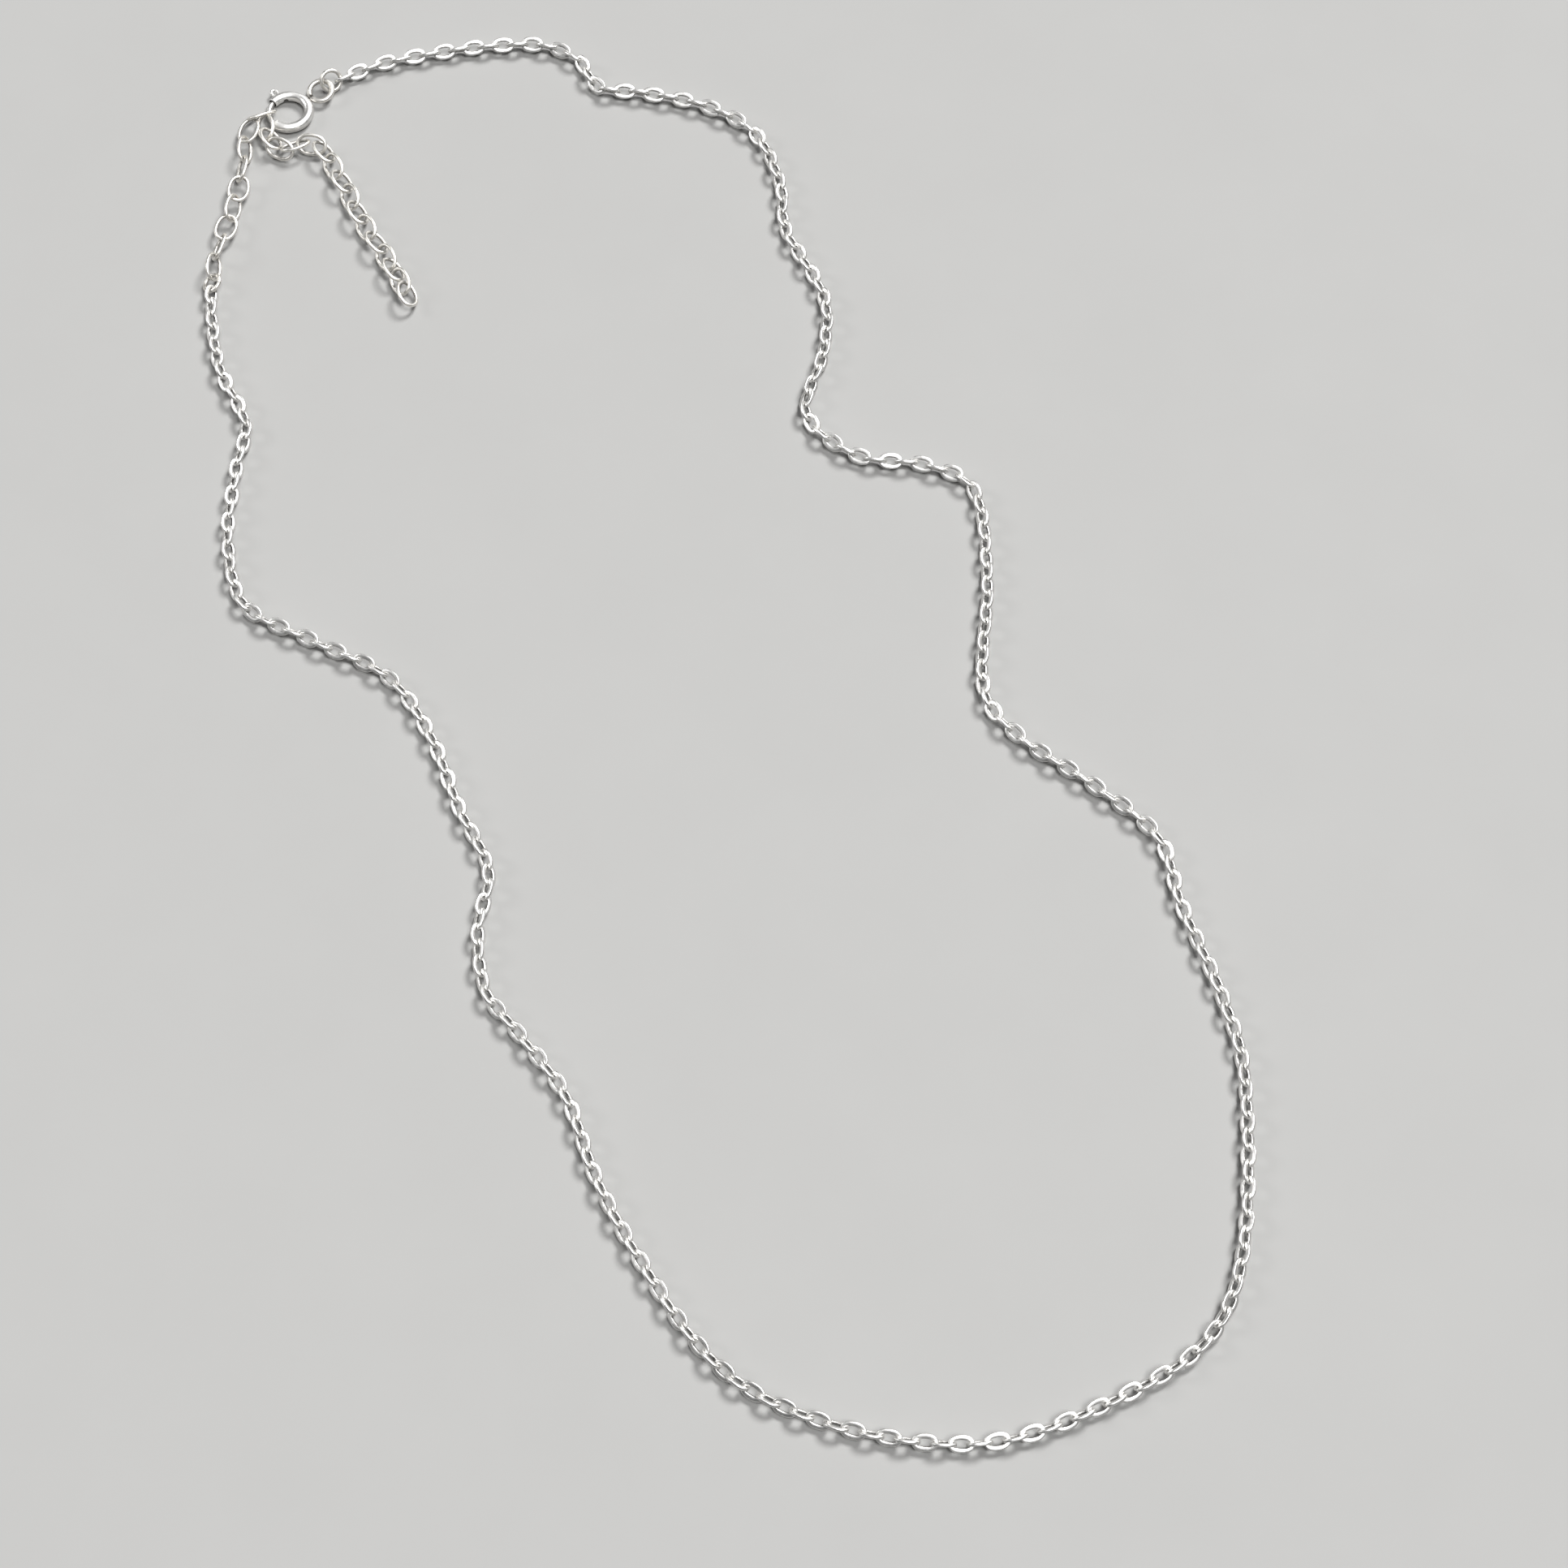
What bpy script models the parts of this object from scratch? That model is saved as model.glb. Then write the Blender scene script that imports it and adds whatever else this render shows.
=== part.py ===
"""A silver cable-chain necklace with a spring-ring clasp and an extender chain, lying on a flat surface.

Metres, +Z up. The origin is the middle of the necklace's footprint, at the height that it rests on.
Its line runs from the clasp's eye through jump ring A, round the main chain to jump ring B, and
through the extender to the link that is hooked on the clasp's bolt, where the slack tail begins.
"""
import math

import bmesh
import bpy
from mathutils import Matrix, Vector

MM = 0.001

# Main chain: flat cable links, rolled one way and the other in turn
CHAIN_WIDTH = 1.85 * MM  # across one link, outside
CHAIN_WIRE = 0.46 * MM  # the wire's width in the link's plane
CHAIN_THICKNESS = 0.44 * MM  # the wire's thickness across that plane
CHAIN_PITCH = 1.80 * MM  # the longest step from link to link
CHAIN_ROLL = 45
CHAIN_END = 0.56  # the flat part of a link's end, as a share of its half width
RUNS = 28  # the links are joined into this many rigid runs
OPEN_AFTER = 14  # the closed loop is left open after this run
OPEN_GAP = 0.40 * MM

# Extender: oval links of round wire
EXT_INSIDE_LENGTH = 2.94 * MM
EXT_INSIDE_WIDTH = 1.86 * MM
EXT_WIRE = 0.37 * MM
EXT_ROLLS = (60, -58, 4, 60, 8, -58, 60, -14, -52)  # degrees, from jump ring B to the hooked link
TAIL_STEPS = ((6, 1.95 * MM), (7, 2.50 * MM), (3, 1.95 * MM))  # (links, step), from the hooked link on
TAIL_ROLLS = (40, -34)  # degrees, in turn

# Jump rings
RING_A_OUTER = 2.90 * MM
RING_B_OUTER = 2.65 * MM
RING_WIRE = 0.50 * MM
RING_SIDES = 14
RING_A_ANGLE = 47  # degrees round the eye
RING_A_ROLL = 50
RING_A_PITCH = 10  # degrees down, towards the chain
RING_A_HEIGHT = 1.18 * MM
RING_B_ROLL = -32
RING_B_HEIGHT = 0.86 * MM

# Spring-ring clasp, whose angles are in degrees round it, anticlockwise from +X
CLASP_RADIUS = 2.40 * MM  # to the middle of the tube
TUBE_OUTER = 1.18 * MM
TUBE_BORE = 0.84 * MM
MOUTH_START = 147
MOUTH_END = 228
BOLT_WIRE = 0.60 * MM
BOLT_START = 112
BOLT_SEAT = 8  # how far the bolt's tip goes into the tube's far end
TRIGGER_AT = 124
TRIGGER_WIRE = 0.28 * MM
TRIGGER_WIDTH = 1.05 * MM
TRIGGER_HEIGHT = 1.05 * MM  # above the tube
EYE_ANGLE = 39
EYE_OUTER = 3.45 * MM
EYE_WIRE = 0.64 * MM
EYE_TILT = 9  # degrees up, away from the tube
SPRING_TURNS = 16
SPRING_OUTER = 0.72 * MM
SPRING_WIRE = 0.12 * MM
BORE_END = -104  # the blind end that the spring pushes on
BOLT_TRAVEL = 55  # the trigger stops just short of the eye
OVER = 6  # how far past the mouth's edges the bore's cutters start
HOOK_AT = 188  # where the hooked link crosses the bolt
HOOK_RISE = 0.18 * MM  # of the hooked link's middle line, over the bolt's

FIT = 0.03 * MM  # between pieces that are soldered to, or slide in, each other
BITE = 0.05 * MM  # how far neighbouring links of one run go into each other
PLAY = 0.10 * MM  # between links that turn on each other
EYE_PLAY = 0.28 * MM  # between the eye and the jump ring that hangs in it
RING_PLAY = 0.12 * MM  # between a jump ring and the link that hangs in it
HOOK_PLAY = 0.22 * MM  # between the bolt and the link that is hooked on it

# Lines and places on the resting plane, by eye, in millimetres: the main chain between the jump rings,
# jump ring B, the extender, the point where its link is hooked on the bolt, and the slack tail
MAIN_ROUTE = [
    (-48.4, 98.4), (-41.3, 100.1), (-34.4, 101.1), (-29.0, 101.0), (-24.9, 98.8), (-22.2, 94.7),
    (-17.0, 93.8), (-9.6, 91.9), (-3.5, 87.8), (-0.5, 80.5), (0.3, 73.5), (4.6, 64.2),
    (4.6, 56.5), (2.6, 47.8), (8.2, 42.1), (16.2, 40.7), (21.6, 37.1), (22.7, 25.5),
    (21.9, 12.2), (25.6, 5.8), (33.6, -0.3), (40.2, -6.6), (42.3, -14.6), (46.0, -25.3),
    (47.8, -35.0), (46.6, -52.6), (42.4, -62.6), (33.0, -68.8), (21.2, -73.1), (9.5, -72.6),
    (-1.5, -68.9), (-8.4, -63.4), (-15.0, -53.5), (-19.3, -45.2), (-22.6, -36.4), (-28.0, -29.0),
    (-31.3, -24.5), (-32.4, -17.5), (-31.6, -10.4), (-35.0, -3.0), (-38.6, 6.0), (-43.6, 13.2),
    (-52.2, 17.8), (-59.8, 22.2), (-62.4, 30.5), (-62.2, 40.0), (-61.6, 46.5), (-65.0, 53.9),
    (-66.6, 61.6),
]
RING_B_AT = (-66.85, 65.9)
EXT_ROUTE = [(-66.7, 69.0), (-65.9, 73.0), (-64.8, 78.4), (-64.4, 83.6), (-64.2, 87.4), (-63.4, 89.8)]
HOOK_POINT = (-61.92, 90.87)
TAIL_ROUTE = [
    (-61.5, 87.0), (-60.0, 85.2), (-57.8, 85.9), (-55.6, 85.6), (-54.3, 83.8), (-52.1, 79.7),
    (-49.9, 74.9), (-47.3, 70.5), (-44.9, 66.1), (-43.8, 63.6), (-43.6, 59.0),
]

SILVER = (0.72, 0.71, 0.68)
DARK_SILVER = (0.45, 0.44, 0.42)


def flat(point, height=0.0):
    """A point given in millimetres on the resting plane, in metres, and raised by a height in metres."""
    return Vector((point[0] * MM, point[1] * MM, height))


def around(centre, radius, degrees):
    """A point at an angle round a centre."""
    angle = math.radians(degrees)
    return centre + radius * Vector((math.cos(angle), math.sin(angle), 0))


class Path:
    """A smooth curve through points, which can be asked for its place and direction at a length."""

    STEPS = 24

    def __init__(self, points):
        ends = [2 * points[0] - points[1], 2 * points[-1] - points[-2]]
        pts = [ends[0], *points, ends[1]]
        self.line = []
        for a, b, c, d in zip(pts, pts[1:], pts[2:], pts[3:]):
            for k in range(self.STEPS):
                t = k / self.STEPS
                bend = (2 * a - 5 * b + 4 * c - d) * t * t + (3 * b - a - 3 * c + d) * t**3
                self.line.append(b + 0.5 * ((c - a) * t + bend))
        self.line.append(points[-1])
        self.run = [0.0]
        for a, b in zip(self.line, self.line[1:]):
            self.run.append(self.run[-1] + (b - a).length)
        self.length = self.run[-1]

    def at(self, s):
        """Place and direction at length s. Beyond the ends the curve runs on straight."""
        low, high = 0, len(self.run) - 2
        while low < high:
            mid = (low + high) // 2
            if self.run[mid + 1] < s:
                low = mid + 1
            else:
                high = mid
        a, b = self.line[low], self.line[low + 1]
        way = (b - a).normalized()
        return a + way * (s - self.run[low]), way


def frame(place, way, roll):
    """A link's matrix: X along the chain, Y across the link in its own plane, rolled about X."""
    side = Vector((0, 0, 1)).cross(way).normalized()
    turn = math.radians(roll)
    across = side * math.cos(turn) + way.cross(side) * math.sin(turn)
    normal = way.cross(across)
    turned = Matrix((way, across, normal)).transposed()
    return Matrix.Translation(place) @ turned.to_4x4()


def material(name, colour, roughness):
    made = bpy.data.materials.new(name)
    made.use_nodes = True
    shader = made.node_tree.nodes["Principled BSDF"]
    shader.inputs["Base Color"].default_value = (*colour, 1)
    shader.inputs["Metallic"].default_value = 1.0
    shader.inputs["Roughness"].default_value = roughness
    return made


def add(name, bm, origin, colour=SILVER, roughness=0.35, smooth=True):
    """A named object from world-space geometry, with its origin on the given point."""
    bmesh.ops.translate(bm, verts=bm.verts, vec=-origin)
    bmesh.ops.recalc_face_normals(bm, faces=bm.faces)
    mesh = bpy.data.meshes.new(name)
    bm.to_mesh(mesh)
    bm.free()
    if smooth:
        mesh.shade_smooth()
        mesh.set_sharp_from_angle(angle=math.radians(60))
    made = bpy.data.objects.new(name, mesh)
    made.location = origin
    made.data.materials.append(material(name, colour, roughness))
    bpy.context.scene.collection.objects.link(made)
    return made


def oval(half_length, half_width, per_end):
    """Points anticlockwise round a stadium-shaped line."""
    points = []
    for side in (1, -1):
        middle = Vector((side * (half_length - half_width), 0, 0))
        for k in range(per_end):
            angle = math.radians(-90 + 180 * k / (per_end - 1))
            points.append(middle + side * half_width * Vector((math.cos(angle), math.sin(angle), 0)))
    return points


def sweep(bm, line, radius, sides, matrix=None, closed=False):
    """Round wire along a line of points, closed into a ring or capped at its ends."""
    matrix = matrix or Matrix()
    count = len(line)
    rings = []
    up = None
    for k, point in enumerate(line):
        before = line[k - 1] if closed or k else line[k]
        after = line[(k + 1) % count] if closed or k < count - 1 else line[k]
        way = (after - before).normalized()
        if up is None:
            up = way.orthogonal().normalized() if abs(way.z) > 0.9 else Vector((0, 0, 1))
        up = (up - way * up.dot(way)).normalized()
        side = way.cross(up)
        section = []
        for n in range(sides):
            angle = 2 * math.pi * (n + 0.5) / sides
            offset = radius * (math.cos(angle) * side + math.sin(angle) * up)
            section.append(bm.verts.new(matrix @ (point + offset)))
        rings.append(section)
    skin(bm, rings, closed)


def skin(bm, rings, closed=False):
    """Faces between rings of vertices, with both ends capped unless the last ring meets the first."""
    pairs = list(zip(rings, rings[1:]))
    if closed:
        pairs.append((rings[-1], rings[0]))
    for a, b in pairs:
        for n in range(len(a)):
            m = (n + 1) % len(a)
            bm.faces.new((a[n], a[m], b[m], b[n]))
    if not closed:
        bm.faces.new(rings[0])
        bm.faces.new(reversed(rings[-1]))


def arc(centre, radius, start, end, steps):
    """Points on an arc round a centre."""
    return [around(centre, radius, start + (end - start) * k / steps) for k in range(steps + 1)]


def flat_link(bm, matrix, near, far):
    """One flat cable link: a six-sided frame of square-cut wire. near and far are its half lengths."""
    rims = []
    for inset in (0.0, CHAIN_WIRE):
        half = CHAIN_WIDTH / 2 - inset
        end = CHAIN_END * half
        back, front = inset - near, far - inset
        rim = [(back, -end), (0, -half), (front, -end), (front, end), (0, half), (back, end)]
        rims.append(rim)
    corners = []
    for rim in rims:
        for z in (-CHAIN_THICKNESS / 2, CHAIN_THICKNESS / 2):
            corners.append([bm.verts.new(matrix @ Vector((x, y, z))) for x, y in rim])
    outer_low, outer_high, inner_low, inner_high = corners
    around_wire = [outer_low, outer_high, inner_high, inner_low, outer_low]
    for a, b in zip(around_wire, around_wire[1:]):
        for k in range(6):
            m = (k + 1) % 6
            bm.faces.new((a[k], a[m], b[m], b[k]))


def chain_run(name, links, origin):
    """A rigid run: every second link in one mesh, joined to the links between them."""
    halves = []
    for parity in (0, 1):
        bm = bmesh.new()
        for matrix, near, far in links[parity::2]:
            flat_link(bm, matrix, near, far)
        label = name if parity == 0 else f"{name}_between"
        halves.append(add(label, bm, origin, smooth=False))
    run, between = halves
    between.hide_render = True
    between.display_type = "WIRE"
    join = run.modifiers.new("join_links", "BOOLEAN")
    join.operation = "UNION"
    join.solver = "EXACT"
    join.object = between
    return run


def main_layout(start, end):
    """The main chain's links between the jump rings' middles: matrices, runs' first links, half length."""
    height = (CHAIN_WIDTH + CHAIN_THICKNESS) / 2 * math.sin(math.radians(CHAIN_ROLL))
    lift = Vector((0, 0, height))
    path = Path([start + lift, *(flat(point, height) for point in MAIN_ROUTE), end + lift])
    inner = CHAIN_PITCH / 2  # from a link's middle to the inside of its end
    first = RING_A_OUTER / 2 - RING_WIRE + inner - RING_PLAY
    last = RING_B_OUTER / 2 - RING_WIRE + inner - RING_PLAY
    room = path.length - first - last
    steps = math.ceil(room / CHAIN_PITCH)
    steps += (steps + 1) % 2  # an even number of links, so that the last one leans away from ring B
    pitch = room / steps
    half = (pitch - BITE) / 2 + CHAIN_WIRE
    frames = []
    for k in range(steps + 1):
        place, way = path.at(first + pitch * k)
        frames.append(frame(place, way, -CHAIN_ROLL if k % 2 == 0 else CHAIN_ROLL))
    starts = [round(len(frames) * r / RUNS) for r in range(RUNS + 1)]
    return frames, starts, half


def main_chain(start, end, ring_a, ring_b):
    """The main chain's rigid runs, each with its origin on the joint that it turns on."""
    frames, starts, half = main_layout(start, end)
    apart = CHAIN_WIRE + (OPEN_GAP - BITE) / 2
    bow = half - CHAIN_WIRE / 2
    for r in range(RUNS):
        links = [[matrix, half, half] for matrix in frames[starts[r] : starts[r + 1]]]
        if r == OPEN_AFTER:
            links[0][1] -= apart
        elif r:
            links[0][1] += BITE + PLAY
        if r == OPEN_AFTER - 1:
            links[-1][2] -= apart
        if r == 0:
            pivot = ring_a @ Vector(((RING_A_OUTER - RING_WIRE) / 2, 0, 0))
        elif r < OPEN_AFTER:
            pivot = frames[starts[r] - 1] @ Vector((bow, 0, 0))
        elif r < RUNS - 1:
            pivot = frames[starts[r + 1]] @ Vector((-bow - BITE - PLAY, 0, 0))
        else:
            pivot = ring_b @ Vector(((RING_WIRE - RING_B_OUTER) / 2, 0, 0))
        chain_run(f"chain_run_{r + 1:02d}", links, pivot)


def ring(name, matrix, outer, wire):
    """A closed jump ring of round wire."""
    bm = bmesh.new()
    radius = (outer - wire) / 2
    line = arc(Vector(), radius, 0, 360, RING_SIDES)[:-1]
    sweep(bm, line, wire / 2, 6, matrix, closed=True)
    return add(name, bm, matrix.translation.copy())


def extender_link(number, matrix, pivot):
    bm = bmesh.new()
    line = oval((EXT_INSIDE_LENGTH + EXT_WIRE) / 2, (EXT_INSIDE_WIDTH + EXT_WIRE) / 2, 5)
    sweep(bm, line, EXT_WIRE / 2, 5, matrix, closed=True)
    return add(f"extender_link_{number:02d}", bm, pivot)


def extender_layout(start, hook):
    """Matrices of the extender's links, from jump ring B to the clasp's bolt and on along the slack tail."""
    inner = EXT_INSIDE_LENGTH / 2
    steepest = math.radians(max(EXT_ROLLS))
    height = (EXT_INSIDE_WIDTH + EXT_WIRE) / 2 * math.sin(steepest) + EXT_WIRE / 2
    lift = Vector((0, 0, height))
    path = Path([start + lift, *(flat(point, height) for point in EXT_ROUTE), hook])
    first = RING_B_OUTER / 2 - RING_WIRE + inner - RING_PLAY
    last = path.length - (inner - BOLT_WIRE / 2 - HOOK_PLAY)
    frames = []
    for k, roll in enumerate(EXT_ROLLS):
        place, way = path.at(first + (last - first) * k / (len(EXT_ROLLS) - 1))
        frames.append(frame(place, way, roll))
    tail = Path([path.at(last)[0], *(flat(point, height) for point in TAIL_ROUTE)])
    s = 0.0
    for k, step in enumerate([step for links, step in TAIL_STEPS for _ in range(links)]):
        s += step
        place, way = tail.at(s)
        frames.append(frame(place, way, TAIL_ROLLS[k % 2]))
    return frames


def extender(start, hook):
    """The extender's links, each with its origin on the end of the link or bolt that it hangs on."""
    bow = Vector(((EXT_INSIDE_LENGTH + EXT_WIRE) / 2, 0, 0))
    frames = extender_layout(start, hook)
    hooked = len(EXT_ROLLS) - 1
    for k, matrix in enumerate(frames):
        if k < hooked:
            pivot = frames[k + 1] @ -bow
        elif k == hooked:
            pivot = Vector((hook.x, hook.y, TUBE_OUTER / 2))
        else:
            pivot = frames[k - 1] @ bow
        extender_link(k + 1, matrix, pivot)


def clasp_tube(centre, lift):
    """The clasp's hollow ring, with its bore, the seat of the bolt's tip and the trigger's slot."""
    at = centre + lift
    bm = bmesh.new()
    sweep(bm, arc(at, CLASP_RADIUS, MOUTH_END - 360, MOUTH_START, 26), TUBE_OUTER / 2, 12)
    tube = add("clasp_tube", bm, at)
    bore = bmesh.new()
    sweep(bore, arc(at, CLASP_RADIUS, BORE_END, MOUTH_START + OVER, 24), TUBE_BORE / 2, 10)
    cut(tube, "clasp_tube_bore", bore, at)
    seat = bmesh.new()
    sweep(seat, arc(at, CLASP_RADIUS, MOUTH_END - OVER, MOUTH_END + BOLT_SEAT + 3, 3), TUBE_BORE / 2, 10)
    cut(tube, "clasp_tube_seat", seat, at)

    half = TRIGGER_WIRE / 2 + 2 * FIT
    spread = math.degrees(TRIGGER_WIDTH / 2 / CLASP_RADIUS) + 2
    start, end = TRIGGER_AT + spread, TRIGGER_AT - BOLT_TRAVEL - spread
    inside, outside = CLASP_RADIUS, CLASP_RADIUS + TUBE_OUTER
    corners = ((inside, -half), (outside, -half), (outside, half), (inside, half))
    rings = []
    slot = bmesh.new()
    for k in range(13):
        angle = start + (end - start) * k / 12
        rings.append([slot.verts.new(around(at, radius, angle) + Vector((0, 0, z))) for radius, z in corners])
    skin(slot, rings)
    cut(tube, "clasp_tube_slot", slot, at)


def clasp_trigger(at):
    """The trigger, a loop of wire that stands on the bolt and comes out through the slot."""
    half = (TRIGGER_WIDTH - TRIGGER_WIRE) / 2
    foot = CLASP_RADIUS + BOLT_WIRE / 2 + FIT
    top = CLASP_RADIUS + TUBE_OUTER / 2 + TRIGGER_HEIGHT - TRIGGER_WIRE / 2
    out = around(Vector(), 1, TRIGGER_AT)
    along = around(Vector(), 1, TRIGGER_AT + 90)
    line = [at + out * foot - along * half]
    for k in range(5):
        turn = math.radians(180 - 45 * k)
        line.append(at + out * (top - half + half * math.sin(turn)) + along * half * math.cos(turn))
    line.append(at + out * foot + along * half)
    bm = bmesh.new()
    sweep(bm, line, TRIGGER_WIRE / 2, 6)
    add("clasp_trigger", bm, at)


def clasp_spring(at):
    """The spring, a coil bent round inside the tube between its blind end and the bolt."""
    per_turn = 6
    start, end = BORE_END + 3, BOLT_START - 3
    coil = (SPRING_OUTER - SPRING_WIRE) / 2
    line = []
    for k in range(SPRING_TURNS * per_turn + 1):
        turn = 2 * math.pi * k / per_turn
        angle = start + (end - start) * k / (SPRING_TURNS * per_turn)
        middle = around(at, CLASP_RADIUS + coil * math.cos(turn), angle)
        line.append(middle + Vector((0, 0, coil * math.sin(turn))))
    bm = bmesh.new()
    sweep(bm, line, SPRING_WIRE / 2, 4)
    add("clasp_spring", bm, at, DARK_SILVER, 0.4)


def clasp(centre):
    """The spring-ring clasp: tube, bolt, trigger, spring and eye."""
    lift = Vector((0, 0, TUBE_OUTER / 2))
    at = centre + lift
    clasp_tube(centre, lift)
    bolt = bmesh.new()
    sweep(bolt, arc(at, CLASP_RADIUS, BOLT_START, MOUTH_END + BOLT_SEAT, 14), BOLT_WIRE / 2, 8)
    add("clasp_bolt", bolt, at, roughness=0.3)
    clasp_trigger(at)
    clasp_spring(at)
    foot = around(at, CLASP_RADIUS + TUBE_OUTER / 2 + FIT, EYE_ANGLE)
    tilt = Matrix.Rotation(math.radians(EYE_ANGLE), 4, "Z") @ Matrix.Rotation(math.radians(-EYE_TILT), 4, "Y")
    eye = Matrix.Translation(foot) @ tilt @ Matrix.Translation((EYE_OUTER / 2, 0, 0))
    ring("clasp_eye", eye, EYE_OUTER, EYE_WIRE)


def cut(target, name, bm, origin):
    """Cut a shape out of an object."""
    cutter = add(name, bm, origin)
    cutter.hide_render = True
    cutter.display_type = "WIRE"
    taken = target.modifiers.new(name, "BOOLEAN")
    taken.operation = "DIFFERENCE"
    taken.solver = "EXACT"
    taken.object = cutter


def centre_on_origin():
    """Move everything so that the footprint's middle is over the origin and the lowest point is at zero."""
    bpy.context.view_layer.update()
    low, high = Vector((9, 9, 9)), Vector((-9, -9, -9))
    for made in bpy.data.objects:
        if made.hide_render:
            continue
        for corner in made.bound_box:
            point = made.matrix_world @ Vector(corner)
            low = Vector(map(min, low, point))
            high = Vector(map(max, high, point))
    shift = Vector((-(low.x + high.x) / 2, -(low.y + high.y) / 2, -low.z))
    for made in bpy.data.objects:
        made.location += shift
    return shift


def layout():
    """The clasp's eye and hook point, and the jump rings' matrices."""
    centre = around(flat(HOOK_POINT), CLASP_RADIUS, HOOK_AT - 180)
    eye_at = around(centre, CLASP_RADIUS + TUBE_OUTER / 2 + FIT + EYE_OUTER / 2, EYE_ANGLE)
    hook = around(centre, CLASP_RADIUS, HOOK_AT) + Vector((0, 0, TUBE_OUTER / 2 + HOOK_RISE))
    at_a = around(eye_at, EYE_OUTER / 2 - EYE_WIRE + RING_A_OUTER / 2 - RING_WIRE - EYE_PLAY, RING_A_ANGLE)
    at_b = flat(RING_B_AT)
    towards = (flat(MAIN_ROUTE[0]) - at_a).normalized()
    towards.z = -math.tan(math.radians(RING_A_PITCH))
    ring_a = frame(at_a + Vector((0, 0, RING_A_HEIGHT)), towards.normalized(), RING_A_ROLL)
    along = (at_b - flat(MAIN_ROUTE[-1])).normalized()
    ring_b = frame(at_b + Vector((0, 0, RING_B_HEIGHT)), along, RING_B_ROLL)
    return centre, eye_at, hook, at_a, at_b, ring_a, ring_b


def build():
    for made in list(bpy.data.objects):
        bpy.data.objects.remove(made)
    centre, eye_at, hook, at_a, at_b, ring_a, ring_b = layout()
    clasp(centre)
    ring("jump_ring_a", ring_a, RING_A_OUTER, RING_WIRE)
    ring("jump_ring_b", ring_b, RING_B_OUTER, RING_WIRE)
    main_chain(at_a, at_b, ring_a, ring_b)
    extender(at_b, hook)
    centre_on_origin()


build()
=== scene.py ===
"""The fine model of a silver cable-chain necklace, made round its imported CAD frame.

Every cable link, extender link and jump ring is a piece of its own.
"""
import math
import random

import bpy
from mathutils import Matrix, Vector


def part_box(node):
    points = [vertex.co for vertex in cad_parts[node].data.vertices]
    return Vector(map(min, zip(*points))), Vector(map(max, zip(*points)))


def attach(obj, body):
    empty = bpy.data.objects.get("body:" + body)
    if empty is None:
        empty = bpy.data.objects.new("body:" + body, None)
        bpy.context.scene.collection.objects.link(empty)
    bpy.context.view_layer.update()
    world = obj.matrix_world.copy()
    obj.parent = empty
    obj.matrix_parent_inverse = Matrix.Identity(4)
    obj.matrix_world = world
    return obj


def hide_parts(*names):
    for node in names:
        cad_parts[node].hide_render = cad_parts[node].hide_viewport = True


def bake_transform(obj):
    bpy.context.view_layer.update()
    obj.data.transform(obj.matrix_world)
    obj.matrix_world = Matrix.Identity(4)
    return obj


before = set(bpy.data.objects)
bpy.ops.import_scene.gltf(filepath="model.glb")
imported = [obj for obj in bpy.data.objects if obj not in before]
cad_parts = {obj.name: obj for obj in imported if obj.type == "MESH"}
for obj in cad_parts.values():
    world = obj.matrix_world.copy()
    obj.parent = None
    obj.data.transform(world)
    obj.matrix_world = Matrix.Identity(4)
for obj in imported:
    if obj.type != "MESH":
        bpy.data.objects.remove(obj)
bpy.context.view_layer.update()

MM = 0.001

# Main chain, as in the CAD
CHAIN_WIDTH = 1.85 * MM
CHAIN_THICKNESS = 0.44 * MM
CHAIN_PITCH = 1.80 * MM
CHAIN_ROLL = 45
RUNS = 28

# Extender, as in the CAD
EXT_INSIDE_LENGTH = 2.94 * MM
EXT_INSIDE_WIDTH = 1.86 * MM
EXT_WIRE = 0.37 * MM
EXT_ROLLS = (60, -58, 4, 60, 8, -58, 60, -14, -52)
TAIL_STEPS = ((6, 1.95 * MM), (7, 2.50 * MM), (3, 1.95 * MM))
TAIL_ROLLS = (40, -34)

# Jump rings, as in the CAD
RING_A_OUTER = 2.90 * MM
RING_B_OUTER = 2.65 * MM
RING_WIRE = 0.50 * MM
RING_A_ANGLE = 47
RING_A_ROLL = 50
RING_A_PITCH = 10
RING_A_HEIGHT = 1.18 * MM
RING_B_ROLL = -32
RING_B_HEIGHT = 0.86 * MM

# Clasp, as in the CAD
CLASP_RADIUS = 2.40 * MM
TUBE_OUTER = 1.18 * MM
TUBE_BORE = 0.84 * MM
MOUTH_START = 147
MOUTH_END = 228
BOLT_WIRE = 0.60 * MM
BOLT_START = 112
BOLT_SEAT = 8
TRIGGER_AT = 124
TRIGGER_WIDTH = 1.05 * MM
TRIGGER_HEIGHT = 1.05 * MM
EYE_ANGLE = 39
EYE_OUTER = 3.45 * MM
EYE_WIRE = 0.64 * MM
EYE_TILT = 9
BOLT_TRAVEL = 55
BORE_END = -104
HOOK_AT = 188
HOOK_RISE = 0.18 * MM
FIT = 0.03 * MM
EYE_PLAY = 0.28 * MM
RING_PLAY = 0.12 * MM
HOOK_PLAY = 0.22 * MM

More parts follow.
